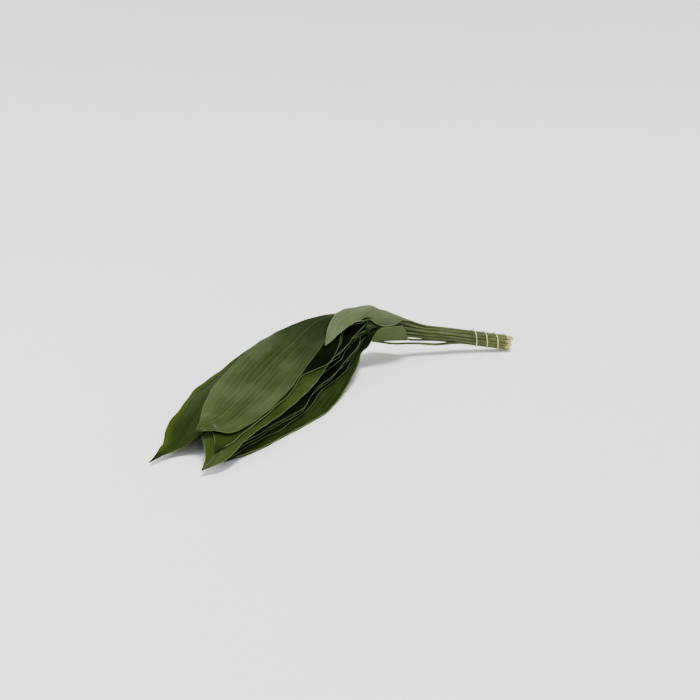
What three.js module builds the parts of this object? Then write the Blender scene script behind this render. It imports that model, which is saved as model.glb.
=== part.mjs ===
// A tied bunch of cut aspidistra leaves lying on a flat surface. Units mm, +Z up.
// Every leaf is one closed body (petiole and blade); the blades are stacked layers that drape
// over each other, so no two of them meet. A thin tie winds round the stems.
import * as THREE from 'three';

// ---------------------------------------------------------------- sizes
const LEAVES = 20;
const CUPPED = 1;              // the low leaf whose base is cupped round the stems
const DRAPED = 2;              // the low leaf whose left half hangs down to the surface
const OUTER_LEAVES = 9;        // of the leaves under this one, the margins lie further out
const TURN = -52;              // degrees from the spine's own axes to the part's
const STEM_R = 2.3;            // petiole radius in the tie
const STEM_GAP = 0.4;          // air between neighbours
const BLADE_T = 0.6;           // blade thickness
const RESTING = 0.05;          // what comes this low lies on the surface
const MIN_STEP = 1.7;          // least height from one layer to the next
const DRAPE = 46;              // how far a layer still props the one above, past its edge
const TIE_R = 0.8;             // radius of the tie's strand
const TIE_TURNS = 3.5;
const TIE_FROM = 7;            // mm from the cut ends
const TIE_TO = 72;

// ---------------------------------------------------------------- the bunch's reference line
// [distance from the cut ends, x, y, z] of the underside of the stack, before it is turned
const SPINE = [
  [-20, 298.6, 646, -2.8], [0, 279, 643, 0.1], [80, 200, 631, 12], [130, 151, 617, 20], [180, 103, 602, 26],
  [235, 55, 574, 31.5], [290, 12, 545, 36], [380, -40, 472, 38.5], [470, -80, 392, 33], [560, -112, 308, 24],
  [650, -142, 222, 18], [740, -170, 137, 11], [870, -209, 14, 2.5],
];
// sideways tilt of the stack, degrees, its right side down
const ROLL = [[0, 0], [180, 0], [290, 17], [400, 17], [565, 14.5], [700, 10], [850, 1]];
// height of one layer on the next, and how much more it is on the left
const STEP = [[0, 2.3], [235, 2.4], [262, 2.93], [290, 2.5], [380, 2.1], [470, 1.75], [560, 1.6], [650, 1.55],
  [740, 1.52], [850, 1.6]];
const LEAN = [[0, 0], [240, 0], [300, 0.3], [400, 0.4], [560, 0.35], [740, 0.25], [850, 0.15]];

// ---------------------------------------------------------------- the leaves, lowest first
// stem places in the tie: [across, up] from the middle of the bundle
const SEATS = [
  [4.76, -9.07], [0, -10.24], [-4.76, -9.07], [8.43, -5.82], [-8.43, -5.82], [2.45, -4.24], [-2.45, -4.24],
  [10.17, -1.23], [-10.17, -1.23], [4.9, 0], [-4.9, 0], [0, 0], [9.57, 3.63], [-9.57, 3.63], [-2.45, 4.24],
  [2.45, 4.24], [-6.79, 7.66], [6.79, 7.66], [-2.45, 9.94], [2.45, 9.94],
];
const BUNDLE_R = 12.6;
// sideways places of a blade's middle: [distance, x]
const DRAPED_LINE = [[215, -4], [275, -6], [330, -10], [390, -14], [470, -16], [560, -16], [650, -18],
  [740, -20], [830, -22]];
const LEFT_LINE = [[215, -8], [290, -24], [380, -24], [470, -20], [555, -17], [590, -20], [640, -21],
  [685, -14], [727, -8.5], [770, -6], [790, -5.5], [800, -8], [812, -12], [848, -15]];
const FRONT_LINE = [[215, -10], [290, -12], [340, -9], [380, -6], [440, -2.7], [480, 1.3], [520, 3.8],
  [560, 6.5], [600, 12.4], [640, 18.4], [680, 24.4], [720, 28.4], [748, 32], [774, 33.5], [784, 32],
  [789, 25], [792, 14]];
const TOP_LINE = [[190, 4], [235, 2], [265, -3], [290, -5], [325, 2], [355, 11], [380, 19], [405, 28],
  [432, 36]];
// sideways places of a blade's right margin, for the leaves that fan out on the right: [distance, x]
const LOW_MARGIN = [[250, 12], [300, 33], [340, 58], [380, 75], [420, 86], [460, 95], [500, 101],
  [540, 105], [580, 108], [620, 104], [660, 99], [700, 92], [740, 86], [780, 76], [813, 62]];
const CUPPED_MARGIN = [[172, 10], [185, 37], [205, 50], [235, 51], [255, 50], [275, 45], [300, 39],
  [340, 57], [380, 75], [420, 86], [460, 95], [500, 101], [540, 105], [580, 108], [620, 104], [660, 99],
  [700, 92], [740, 86], [780, 76], [803, 66]];
const OUTER_MARGIN = [[250, 3], [280, 13], [300, 24], [320, 37], [340, 47], [360, 56], [380, 64],
  [420, 72], [480, 76], [520, 76], [560, 79], [600, 84], [640, 84], [680, 80], [740, 74], [800, 68],
  [840, 61]];
const INNER_MARGIN = [[250, 2], [280, 11], [300, 17], [320, 27], [340, 35], [360, 44], [380, 51],
  [400, 57], [420, 60], [460, 61], [500, 61], [540, 63], [580, 67], [620, 70], [660, 70], [700, 68],
  [760, 65], [810, 60]];
const WAVY_MARGIN = [[250, -3], [300, 3], [320, 9], [340, 17], [360, 28], [380, 39], [400, 46],
  [440, 57], [480, 64], [520, 69], [560, 74], [600, 78], [640, 79], [680, 77], [720, 75], [760, 74],
  [818, 75], [842, 69], [860, 56]];
const UPPER_MARGIN = [[250, -3], [300, 2], [340, 15], [360, 26], [380, 37], [400, 45], [420, 52],
  [450, 60], [480, 62], [510, 56], [540, 51], [570, 55], [600, 62], [630, 66], [660, 66], [700, 67],
  [760, 67], [800, 67], [829, 58]];
// how far each leaf's margin lies inside those lines, which leaves gaps in the stack's side
const INWARD = [0, 0, 0, 0, 5, 8, 5.5, 9, 3, 0, 6, 9, 5, 8, 3];
// half widths along a blade: [share of its length, share of the half width]
const OUTLINE = [[0, 0.05], [0.05, 0.16], [0.1, 0.29], [0.18, 0.48], [0.28, 0.71], [0.38, 0.88],
  [0.5, 0.98], [0.6, 1], [0.7, 0.97], [0.85, 0.9], [1, 0.85]];
const CUPPED_WIDTHS = [[172, 5], [180, 25], [205, 45], [235, 46], [255, 46], [275, 41], [300, 33],
  [340, 34], [380, 40], [420, 45], [460, 49], [500, 51], [560, 52], [650, 50], [705, 41], [755, 28],
  [785, 13], [803, 1]];
const LEFT_WIDTHS = [[252, 2.2], [275, 6], [300, 10], [350, 19], [400, 27], [450, 33], [500, 38],
  [550, 42.5], [600, 46], [650, 48], [690, 49], [730, 45], [765, 33], [790, 22], [802, 14.5],
  [815, 8.5], [830, 4], [850, 0.8]];
const FRONT_WIDTHS = [[248, 2.2], [275, 7], [300, 12], [340, 21], [380, 29], [410, 33.5], [440, 36.7],
  [480, 39.7], [520, 42.1], [560, 44.5], [600, 45.6], [640, 43.6], [680, 40.6], [720, 36.6], [748, 33],
  [766, 30], [776, 27], [785, 21], [789, 12], [792, 1]];
const TOP_WIDTHS = [[176, 6], [205, 13], [250, 17], [290, 18], [325, 16], [355, 13], [380, 10], [405, 6],
  [432, 0.8]];
// leaves that stand out: the low one with its own stem, the cupped low one, the draped low one, the
// long one whose tip shows in front, the one on the left, the one just under the big one, the big one
// in front and the short one on top
const SINGLES = {
  0: { end: 813, stem: 250, half: 52, blunt: 1.0, margin: LOW_MARGIN },
  1: { end: 803, stem: 172, half: 52, blunt: 1.0, margin: CUPPED_MARGIN, leaves: [125, 185],
    widths: CUPPED_WIDTHS },
  2: { end: 801, stem: 254, half: 50, blunt: 1.2, line: DRAPED_LINE },
  15: { end: 860, stem: 256, half: 46, blunt: 0.9, margin: WAVY_MARGIN },
  16: { end: 850, stem: 252, half: 48, blunt: 1.4, line: LEFT_LINE, widths: LEFT_WIDTHS },
  17: { end: 829, stem: 250, half: 46, blunt: 1.0, margin: UPPER_MARGIN },
  18: { end: 792, stem: 248, half: 46, blunt: 0.55, line: FRONT_LINE, widths: FRONT_WIDTHS },
  19: { end: 432, stem: 176, half: 16, blunt: 1.0, line: TOP_LINE, leaves: [150, 250], widths: TOP_WIDTHS },
};
// extra room over layers: [first layer, last layer, distance, spread, across, spread, height of each]
const OPENINGS = [[3, 3, 420, 70, 75, 25, 4], [7, 7, 380, 80, 55, 25, 4], [9, 9, 560, 60, 80, 25, 5],
  [12, 12, 620, 60, 75, 22, 5], [14, 14, 450, 70, 50, 25, 4], [16, 16, 340, 60, 30, 25, 4],
  [0, 17, 390, 75, -48, 36, 2.2], [15, 15, 690, 190, 0, 70, 2.8], [1, 1, 310, 60, -10, 50, 1.2],
  [16, 16, 520, 60, -26, 24, 2.2], [17, 17, 775, 75, 32, 45, 3.6], [17, 17, 525, 50, 3, 30, 1.1],
  [15, 15, 716, 45, -7, 25, 1.4], [11, 11, 392, 45, 26, 20, 1.2], [14, 14, 710, 45, -12, 25, 1.4],
  [5, 5, 272, 30, 2, 20, 0.4], [1, 1, 285, 30, 30, 14, 1.6], [10, 10, 738, 45, 8, 25, 0.7]];

// ---------------------------------------------------------------- where the stations are
const STATIONS = [0, 45, 85, 125, 155, 180, 205, 232, 260, 292, 328, 368, 410, 455, 500, 550, 600, 650, 695,
  735, 762, 780, 795, 807, 819, 831, 845];
const COLUMNS = [-1, -0.68, -0.34, 0, 0.34, 0.68, 1];

// ---------------------------------------------------------------- small helpers
const clamp01 = (v) => Math.min(1, Math.max(0, v));
const ease = (a, b, v) => { const t = clamp01((v - a) / (b - a)); return t * t * (3 - 2 * t); };

/** A number in 0..1 that is always the same for the same pair. */
function chance(i, j) {
  const v = Math.sin(i * 12.9898 + j * 78.233) * 43758.5453;
  return v - Math.floor(v);
}

/** Smooth value at s through rows of [s, value...]; column picks the value. */
function along(rows, s, column = 1) {
  const last = rows.length - 1;
  if (s <= rows[0][0]) return rows[0][column];
  if (s >= rows[last][0]) return rows[last][column];
  let i = 0;
  while (s > rows[i + 1][0]) i += 1;
  const slope = (k) => {
    const a = rows[Math.max(k - 1, 0)];
    const b = rows[Math.min(k + 1, last)];
    return (b[column] - a[column]) / (b[0] - a[0]);
  };
  const h = rows[i + 1][0] - rows[i][0];
  const t = (s - rows[i][0]) / h;
  const t2 = t * t;
  const t3 = t2 * t;
  return (2 * t3 - 3 * t2 + 1) * rows[i][column] + (t3 - 2 * t2 + t) * slope(i) * h
    + (3 * t2 - 2 * t3) * rows[i + 1][column] + (t3 - t2) * slope(i + 1) * h;
}

// ---------------------------------------------------------------- the bunch's own frame
const spinePoint = (s) => new THREE.Vector3(along(SPINE, s, 1), along(SPINE, s, 2), along(SPINE, s, 3));

/** Origin, forward, across (right) and up directions of the stack at distance s. */
function frameAt(s) {
  const origin = spinePoint(s);
  const forward = spinePoint(s + 1).sub(spinePoint(s - 1)).normalize();
  const across = new THREE.Vector3(0, 0, 1).cross(forward).normalize();
  const up = forward.clone().cross(across).normalize();
  const a = THREE.MathUtils.degToRad(along(ROLL, s));
  return {
    origin,
    forward,
    across: across.clone().multiplyScalar(Math.cos(a)).addScaledVector(up, -Math.sin(a)),
    up: up.clone().multiplyScalar(Math.cos(a)).addScaledVector(across, Math.sin(a)),
  };
}

// ---------------------------------------------------------------- the leaves' own numbers
/** Sizes of leaf k: a named one, or one of the outer or inner group on the right. */
function leafNumbers(k) {
  if (SINGLES[k]) return SINGLES[k];
  const r = [11, 12, 13, 14, 15, 16, 17].map((j) => chance(k, j) - 0.5);
  const outer = k < OUTER_LEAVES;
  const margin = (outer ? OUTER_MARGIN : INNER_MARGIN).map(([s, x]) => {
    const wave = 2 * Math.sin(s / (18 + 8 * r[0]) + 9 * r[1]);
    return [s, x + ease(300, 380, s) * (wave - INWARD[k]) + 14 * (r[2] - 0.2) * ease(640, 840, s)];
  });
  return {
    end: (outer ? 807 : 777) + 12 * Math.round(1.5 + 3 * r[3]),
    stem: 256 + 14 * r[4],
    half: 48.5 + 5 * r[5] - 0.6 * INWARD[k],
    blunt: 0.95 + 0.6 * r[6],
    margin,
  };
}
const NUMBERS = Array.from({ length: LEAVES }, (_, k) => leafNumbers(k));

const stemRadius = (s) => (
  STEM_R - 0.4 * ease(110, 200, s) - 0.5 * ease(232, 330, s) - 0.7 * ease(330, 520, s)
);

/** Half width of leaf k at distance s, measured along its surface. */
function halfWidth(k, s) {
  const n = NUMBERS[k];
  if (s <= n.stem) return stemRadius(s);
  if (n.widths) return along(n.widths, s);
  const u = clamp01((s - n.stem) / (n.end - n.stem));
  const tip = u > 0.7 ? Math.max(0, 1 - ((u - 0.7) / 0.3) ** 2) ** n.blunt : 1;
  return Math.max(0.5, n.half * along(OUTLINE, u) * tip);
}

/** Sideways place of leaf k's middle at distance s. */
function middle(k, s) {
  const n = NUMBERS[k];
  const [from, to] = n.leaves || [235, 330];
  const free = ease(from, to, s);
  const place = n.margin ? along(n.margin, s) - halfWidth(k, s) : along(n.line, s);
  return (1 - free) * SEATS[k][0] + free * place;
}

// ---------------------------------------------------------------- the stack of layers
const X_FIRST = -100;
const X_STEP = 2.5;
const X_COUNT = 97;
const XS = Array.from({ length: X_COUNT }, (_, i) => X_FIRST + i * X_STEP);

/** Value of a row of numbers given at XS, at any x. */
function sample(row, x) {
  const f = Math.min(X_COUNT - 1.001, Math.max(0, (x - X_FIRST) / X_STEP));
  const i = Math.floor(f);
  return row[i] + (row[i + 1] - row[i]) * (f - i);
}
const slopeOf = (row) => row.map((_, i) => {
  const a = Math.max(0, i - 1);
  const b = Math.min(X_COUNT - 1, i + 1);
  return (row[b] - row[a]) / ((b - a) * X_STEP);
});

/** Length along a row from XS[0] to each XS. */
function lengths(row) {
  const out = [0];
  for (let i = 1; i < X_COUNT; i += 1) out.push(out[i - 1] + Math.hypot(X_STEP, row[i] - row[i - 1]));
  return out;
}
/** The x that lies `dist` further along the row than x0. */
function walk(len, x0, dist) {
  const goal = sample(len, x0) + dist;
  let i = 0;
  while (i < X_COUNT - 2 && len[i + 1] < goal) i += 1;
  return XS[i] + ((goal - len[i]) / (len[i + 1] - len[i])) * X_STEP;
}

/** Height of the layer step above leaf j. */
function layerStep(j, s, x, slope) {
  const length = 140 + 110 * chance(j, 1);
  const phase = 2 * Math.PI * chance(j, 2) + 2.2 * (chance(j, 3) - 0.5) * x / 30;
  const wave = 0.4 * Math.sin(2 * Math.PI * s / length + phase) * Math.min(1, Math.abs(x - middle(j, s)) / 40);
  const lean = 1 - along(LEAN, s) * Math.min(1.2, Math.max(-1.2, x / 50));
  let step = along(STEP, s) * lean * (1 + wave);
  for (const [first, last, s0, ds, x0, dx, height] of OPENINGS) {
    if (j >= first && j <= last) step += height * Math.exp(-(((s - s0) / ds) ** 2) - ((x - x0) / dx) ** 2);
  }
  return Math.max(MIN_STEP * Math.hypot(1, slope), step);
}

/** Height at which a blade lies flat on the resting surface. */
const groundRow = (frame) => XS.map((x) => (BLADE_T / 2 - frame.origin.z - x * frame.across.z) / frame.up.z);

/** Lowest surface: flat in the stack's frame, but never under the resting surface. */
const bottomRow = (frame) => groundRow(frame).map((y) => Math.max(0, y));

/** How far the cupped leaf turns up round the right side of the stems. */
function cupHeight(s, x) {
  return ease(160, 190, s) * (1 - ease(246, 306, s)) * Math.min(30, 0.44 * Math.max(0, x - 15.5) ** 2);
}

/** How far the draped leaf hangs down on the left. */
function drapeDepth(s, x) {
  return ease(290, 400, s) * (1 - ease(700, 820, s)) * 0.032 * Math.max(0, -8 - x) ** 2;
}

/** The row of leaf k itself, which may leave the stack's layer. */
function leafRow(k, s, row, frame) {
  if (k === CUPPED) return row.map((y, i) => y + cupHeight(s, XS[i]));
  if (k === DRAPED) {
    const ground = groundRow(frame);
    return row.map((y, i) => Math.max(ground[i], y - drapeDepth(s, XS[i])));
  }
  return row;
}

/** All layers at distance s: their heights over XS. */
function layersAt(s) {
  const frame = frameAt(s);
  let row = bottomRow(frame);
  const rows = [];
  for (let k = 0; k < LEAVES; k += 1) {
    const here = leafRow(k, s, row, frame);
    const slope = slopeOf(here);
    const len = lengths(here);
    rows.push({ height: here, slope, len });
    const half = halfWidth(k, s);
    const left = walk(len, middle(k, s), -half);
    const right = walk(len, middle(k, s), half);
    const present = 1 - ease(NUMBERS[k].end + 4, NUMBERS[k].end + 60, s);
    row = row.map((y, i) => {
      const x = XS[i];
      const past = Math.max(left - x, x - right, 0);
      return y + layerStep(k, s, x, slope[i]) * present * (1 - ease(0, DRAPE, past));
    });
  }
  return { frame, rows };
}

// ---------------------------------------------------------------- one leaf
/** Height that only leaf k has, over its layer. */
function ownHeight(k, s, across) {
  if (k === 0) return -8.8 * ease(74, 138, s) * (1 - ease(190, 262, s));
  if (k === 1) return -3.2 * ease(110, 165, s) * (1 - ease(205, 262, s));
  if (k === 18) return 8 * ease(745, 790, s) * (1 - ease(-8, 16, across));
  if (k === 19) {
    return 2.8 * ease(120, 176, s) + 2.5 * ease(178, 212, s) * (1 - ease(216, 268, s))
      - 2.8 * ease(225, 290, s) - 0.5 * ease(320, 430, s) * Math.min(0, across)
      - 0.05 * ease(190, 215, s) * (1 - ease(280, 320, s)) * Math.max(0, across - 5) ** 2;
  }
  return 0;
}

/** How far a ring of leaf k is skewed along the leaf, per mm across: the big leaf's tip turns left. */
const skew = (k, s) => (k === 18 ? 0.5 * ease(735, 790, s) : 0);

/** Ring of points round leaf k at distance s, top side first. */
function leafRing(k, s, stations) {
  const n = NUMBERS[k];
  const mid = middle(k, s);
  const half = halfWidth(k, s);
  const r = stemRadius(s);
  const flat = ease(n.stem - 6, n.stem + 40, s);
  const layered = ease(145, 240, s);
  const seat = BUNDLE_R + SEATS[k][1];
  const ring = [[], []];
  COLUMNS.forEach((v, i) => {
    const { frame, rows } = stations(s + skew(k, s) * v * half);
    const { height, slope, len } = rows[k];
    const stemY = (1 - layered) * seat + layered * sample(height, mid) + ownHeight(k, s, 0);
    const room = k > 0 ? sample(height, mid) - sample(rows[k - 1].height, mid) : 1.2;
    const under = Math.min(0.9, Math.max(0, room - BLADE_T - 0.4)) * (1 - ease(n.end - 160, n.end - 20, s));
    const x = walk(len, mid, v * half);
    const y0 = (1 - layered) * (seat + (sample(height, x) - sample(height, mid))) + layered * sample(height, x);
    const y = y0 + ownHeight(k, s, x - mid);
    const m = sample(slope, x);
    const nx = -m / Math.hypot(1, m);
    const ny = 1 / Math.hypot(1, m);
    const angle = (Math.PI / 2) * (1 - v);
    [1, -1].forEach((side, row) => {
      const d = side > 0 ? BLADE_T / 2 : -BLADE_T / 2 - under * Math.max(0, 1 - Math.abs(v) / 0.3);
      const squash = Math.abs(v) === 1 ? 0.12 : 0;
      const a = angle + (v === 1 ? squash : -squash);
      const px = (1 - flat) * (mid + r * Math.cos(a)) + flat * (x + nx * d);
      const py = (1 - flat) * (stemY + side * r * Math.sin(a)) + flat * (y + ny * d);
      const point = frame.origin.clone().addScaledVector(frame.across, px).addScaledVector(frame.up, py);
      if (point.z < RESTING) point.z = 0;
      ring[row][i] = point;
    });
  });
  return [...ring[0], ...ring[1].reverse()];
}

/**
 * Closed body from rings of equal, even size, whose second half lies under the first. Both halves are
 * split along the same diagonals, and each end is closed with a strip.
 */
function skin(rings) {
  const size = rings[0].length;
  const points = rings.flat();
  const index = [];
  for (let i = 0; i + 1 < rings.length; i += 1) {
    for (let j = 0; j < size; j += 1) {
      const a = i * size + j;
      const b = i * size + ((j + 1) % size);
      if (j < size / 2) index.push(a, a + size, b, b, a + size, b + size);
      else index.push(a, a + size, b + size, a, b + size, b);
    }
  }
  const close = (start, flip) => {
    for (let j = 0; j + 1 < size / 2; j += 1) {
      const [a, b, c, d] = [j, j + 1, size - 2 - j, size - 1 - j].map((v) => start + v);
      if (flip) index.push(a, b, c, a, c, d);
      else index.push(a, c, b, a, d, c);
    }
  };
  close(0, true);
  close((rings.length - 1) * size, false);
  const places = points.flatMap((p) => [p.x, p.y, p.z]);
  const geometry = new THREE.BufferGeometry();
  geometry.setAttribute('position', new THREE.Float32BufferAttribute(places, 3));
  geometry.setIndex(index);
  geometry.computeVertexNormals();
  return geometry;
}

function leafGeometry(k, stations) {
  const n = NUMBERS[k];
  const first = 6 * chance(k, 31) - 3;
  const places = [first, ...STATIONS.filter((s) => s > first + 12 && s < n.end - 3), n.end];
  return skin(places.map((s) => leafRing(k, s, stations)));
}

// ---------------------------------------------------------------- the tie
function tieGeometry() {
  const rings = [];
  const steps = 84;
  const sides = 6;
  const radius = BUNDLE_R + STEM_GAP + TIE_R;
  const place = (i) => {
    const t = i / steps;
    const s = TIE_FROM + (TIE_TO - TIE_FROM) * t;
    const a = 2 * Math.PI * TIE_TURNS * t + 0.6;
    const f = frameAt(s);
    const centre = f.origin.clone().addScaledVector(f.up, BUNDLE_R);
    const out = f.across.clone().multiplyScalar(Math.cos(a)).addScaledVector(f.up, Math.sin(a));
    return { at: centre.addScaledVector(out, radius), out };
  };
  for (let i = 0; i <= steps; i += 1) {
    const { at, out } = place(i);
    const ahead = place(i + 0.2).at.sub(place(i - 0.2).at).normalize();
    const side = out.clone().cross(ahead).normalize();
    rings.push(Array.from({ length: sides }, (_, j) => {
      const a = (2 * Math.PI * j) / sides;
      return at.clone().addScaledVector(out, TIE_R * Math.cos(a)).addScaledVector(side, TIE_R * Math.sin(a));
    }));
  }
  return skin(rings);
}

// ---------------------------------------------------------------- the whole part
const PALE_LEAVES = [1, 19];   // these two show their paler underside
const leafMaterial = (k) => new THREE.MeshStandardMaterial({
  name: 'leaf',
  color: PALE_LEAVES.includes(k) ? '#7b8a66' : '#4f6a35',
  roughness: 0.45,
  metalness: 0,
});
const tieMaterial = () => new THREE.MeshStandardMaterial({
  name: 'tie',
  color: '#e6dfc4',
  roughness: 0.8,
  metalness: 0,
});

/** The bunch, turned so that its length runs along X, with its footprint's middle at the origin. */
function bunch() {
  const known = new Map();
  const stations = (s) => {
    if (!known.has(s)) known.set(s, layersAt(s));
    return known.get(s);
  };
  const group = new THREE.Group();
  group.name = 'aspidistra_bunch';
  for (let k = 0; k < LEAVES; k += 1) {
    const leaf = new THREE.Mesh(leafGeometry(k, stations), leafMaterial(k));
    leaf.name = `leaf_${String(k + 1).padStart(2, '0')}`;
    group.add(leaf);
  }
  const tie = new THREE.Mesh(tieGeometry(), tieMaterial());
  tie.name = 'stem_tie';
  group.add(tie);
  const turn = new THREE.Matrix4().makeRotationZ(THREE.MathUtils.degToRad(TURN));
  group.children.forEach((mesh) => mesh.geometry.applyMatrix4(turn));
  const box = new THREE.Box3().setFromObject(group);
  const back = new THREE.Matrix4().setPosition(-(box.min.x + box.max.x) / 2, -(box.min.y + box.max.y) / 2, 0);
  group.children.forEach((mesh) => mesh.geometry.applyMatrix4(back));
  return group;
}

export default bunch();
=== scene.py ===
"""A tied bunch of cut aspidistra leaves lying on a flat surface, dressed over its frame."""
import functools
import math

import bpy
import numpy as np
from mathutils import Matrix, Vector


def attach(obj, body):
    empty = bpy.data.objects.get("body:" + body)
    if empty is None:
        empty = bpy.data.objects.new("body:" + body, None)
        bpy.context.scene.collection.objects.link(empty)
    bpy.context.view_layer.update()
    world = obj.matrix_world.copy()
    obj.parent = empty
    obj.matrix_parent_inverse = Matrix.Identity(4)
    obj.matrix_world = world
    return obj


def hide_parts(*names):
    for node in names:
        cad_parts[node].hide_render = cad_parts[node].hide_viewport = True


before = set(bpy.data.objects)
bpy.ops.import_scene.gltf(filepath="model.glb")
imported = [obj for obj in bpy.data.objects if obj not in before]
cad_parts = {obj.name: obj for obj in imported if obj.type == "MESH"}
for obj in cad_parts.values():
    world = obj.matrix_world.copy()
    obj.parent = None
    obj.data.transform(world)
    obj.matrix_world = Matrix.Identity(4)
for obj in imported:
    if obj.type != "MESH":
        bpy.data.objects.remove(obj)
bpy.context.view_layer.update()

# ---------------------------------------------------------------- sizes, mm
LEAVES = 20
CUPPED = 1              # the low leaf whose base is cupped round the stems
DRAPED = 2              # the low leaf whose left half hangs down to the surface
OUTER_LEAVES = 9        # the leaves of the outer group on the right are those under this one
INNER = (*range(3, 15), 17)    # leaves that lie deep in the stack
STRIP = 15              # the long leaf that shows as a strip along the big one
LEFT = 16               # the leaf that stands out on the left
BIG = 18                # the big leaf in front
TOP = 19                # the short leaf on top
TURN = -52.0            # degrees from the spine's own axes to the part's
SHIFT = (292.6654, 239.2176)   # middle of the turned footprint
STEM_R = 2.3
BLADE_T = 0.6
RESTING = 0.05          # a point lower than this lies on the surface
MIN_STEP = 1.7          # least distance between the middles of two layers
DRAPE = 46.0            # how far past a leaf's margin the leaves above it keep some of its height
BUNDLE_R = 12.6
LAYERED = (145, 240)    # where the stems pass from their seats in the bundle to the stack's layers
FLATTENED = (-6, 40)    # where a stem turns into a blade, from the blade's base
STEP_WAVE = 0.4         # share by which the layers' distance comes and goes
STEP_WAVE_LENGTH = (140, 110)  # its shortest length, and how much longer it may be
TIE_R = 0.8
TIE_GAP = 0.4           # between the bundle and the tie
TIE_TURNS = 3.5
TIE_START = 0.6         # radians from the right side to the tie's first point
TIE_FROM, TIE_TO = 7.0, 72.0

# what the frame's plainer leaves don't have
COLUMN_COUNT = 31       # points across a blade
CROWDING = 0.8          # how far the points crowd towards the margins, 0 to 1
STATION_STEP = 4.0      # between two rings of points along a leaf
CUT_SPREAD = 6.0        # the stems are cut at places that differ by up to this
BASE_EARLIER = 30.0     # the blades open out this much sooner
BASE_WIDER = 8.0        # and are at most this much wider there, to each side
TOP_WIDER = 6.0         # the short leaf on top likewise
FOLD_HEIGHT = 0.16
FOLD_COUNT = (4, 2)     # fewest folds on half a blade, and how many more there may be
MARGIN_WAVE = 0.5
MARGIN_LENGTH = (34, 22)
GROOVE_DEPTH, GROOVE_WIDTH = 0.45, 1.5
KEEL_DEPTH, KEEL_SHARE = 0.9, 0.3   # the midrib underneath, and its share of the half width
KEEL_CLEAR = 0.4        # left free between a midrib and the leaf below
LOWEST_ROOM = 1.2       # room under the lowest leaf
TIE_RINGS, TIE_SIDES = 280, 12

# ---------------------------------------------------------------- the bunch's reference line
# all rows start with the distance s from the cut ends; SPINE: the place; ROLL: degrees to the right;
# STEP: the distance between two layers; LEAN: the share of it that is lost towards the right
SPINE = np.array([[-20, 298.6, 646, -2.8], [0, 279, 643, 0.1], [80, 200, 631, 12], [130, 151, 617, 20],
    [180, 103, 602, 26], [235, 55, 574, 31.5], [290, 12, 545, 36], [380, -40, 472, 38.5],
    [470, -80, 392, 33], [560, -112, 308, 24], [650, -142, 222, 18], [740, -170, 137, 11],
    [870, -209, 14, 2.5]], float)
ROLL = [[0, 0], [180, 0], [290, 17], [400, 17], [565, 14.5], [700, 10], [850, 1]]
STEP = [[0, 2.3], [235, 2.4], [262, 2.93], [290, 2.5], [380, 2.1], [470, 1.75], [560, 1.6], [650, 1.55],
    [740, 1.52], [850, 1.6]]
LEAN = [[0, 0], [240, 0], [300, 0.3], [400, 0.4], [560, 0.35], [740, 0.25], [850, 0.15]]

# ---------------------------------------------------------------- the leaves, lowest first
# SEATS: each stem's place in the bundle, across and up; LINE: a blade's middle along the spine;
# MARGIN: its right margin; WIDTHS: its half width; OUTLINE: the half width's share along a blade;
# INWARD: how much narrower and further in each leaf of the two groups on the right is
SEATS = [[4.76, -9.07], [0, -10.24], [-4.76, -9.07], [8.43, -5.82], [-8.43, -5.82], [2.45, -4.24],
    [-2.45, -4.24], [10.17, -1.23], [-10.17, -1.23], [4.9, 0], [-4.9, 0], [0, 0], [9.57, 3.63],
    [-9.57, 3.63], [-2.45, 4.24], [2.45, 4.24], [-6.79, 7.66], [6.79, 7.66], [-2.45, 9.94], [2.45, 9.94]]
DRAPED_LINE = [[215, -4], [275, -6], [330, -10], [390, -14], [470, -16], [560, -16], [650, -18],
    [740, -20], [830, -22]]
LEFT_LINE = [[215, -8], [290, -24], [380, -24], [470, -20], [555, -17], [590, -20], [640, -21],
    [685, -14], [727, -8.5], [770, -6], [790, -5.5], [800, -8], [812, -12], [848, -15]]
FRONT_LINE = [[215, -10], [290, -12], [340, -9], [380, -6], [440, -2.7], [480, 1.3], [520, 3.8],
    [560, 6.5], [600, 12.4], [640, 18.4], [680, 24.4], [720, 28.4], [748, 32], [774, 33.5], [784, 32],
    [789, 25], [792, 14]]
TOP_LINE = [[190, 4], [235, 2], [265, -3], [290, -5], [325, 2], [355, 11], [380, 19], [405, 28],
    [432, 36]]
LOW_MARGIN = [[250, 12], [300, 33], [340, 58], [380, 75], [420, 86], [460, 95], [500, 101], [540, 105],
    [580, 108], [620, 104], [660, 99], [700, 92], [740, 86], [780, 76], [813, 62]]
CUPPED_MARGIN = [[172, 10], [185, 37], [205, 50], [235, 51], [255, 50], [275, 45], [300, 39], [340, 57],
    [380, 75], [420, 86], [460, 95], [500, 101], [540, 105], [580, 108], [620, 104], [660, 99],
    [700, 92], [740, 86], [780, 76], [803, 66]]
OUTER_MARGIN = [[250, 3], [280, 13], [300, 24], [320, 37], [340, 47], [360, 56], [380, 64], [420, 72],
    [480, 76], [520, 76], [560, 79], [600, 84], [640, 84], [680, 80], [740, 74], [800, 68], [840, 61]]
INNER_MARGIN = [[250, 2], [280, 11], [300, 17], [320, 27], [340, 35], [360, 44], [380, 51], [400, 57],
    [420, 60], [460, 61], [500, 61], [540, 63], [580, 67], [620, 70], [660, 70], [700, 68], [760, 65],
    [810, 60]]
WAVY_MARGIN = [[250, -3], [300, 3], [320, 9], [340, 17], [360, 28], [380, 39], [400, 46], [440, 57],
    [480, 64], [520, 69], [560, 74], [600, 78], [640, 79], [680, 77], [720, 75], [760, 74], [818, 75],
    [842, 69], [860, 56]]
UPPER_MARGIN = [[250, -3], [300, 2], [340, 15], [360, 26], [380, 37], [400, 45], [420, 52], [450, 60],
    [480, 62], [510, 56], [540, 51], [570, 55], [600, 62], [630, 66], [660, 66], [700, 67], [760, 67],
    [800, 67], [829, 58]]
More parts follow.
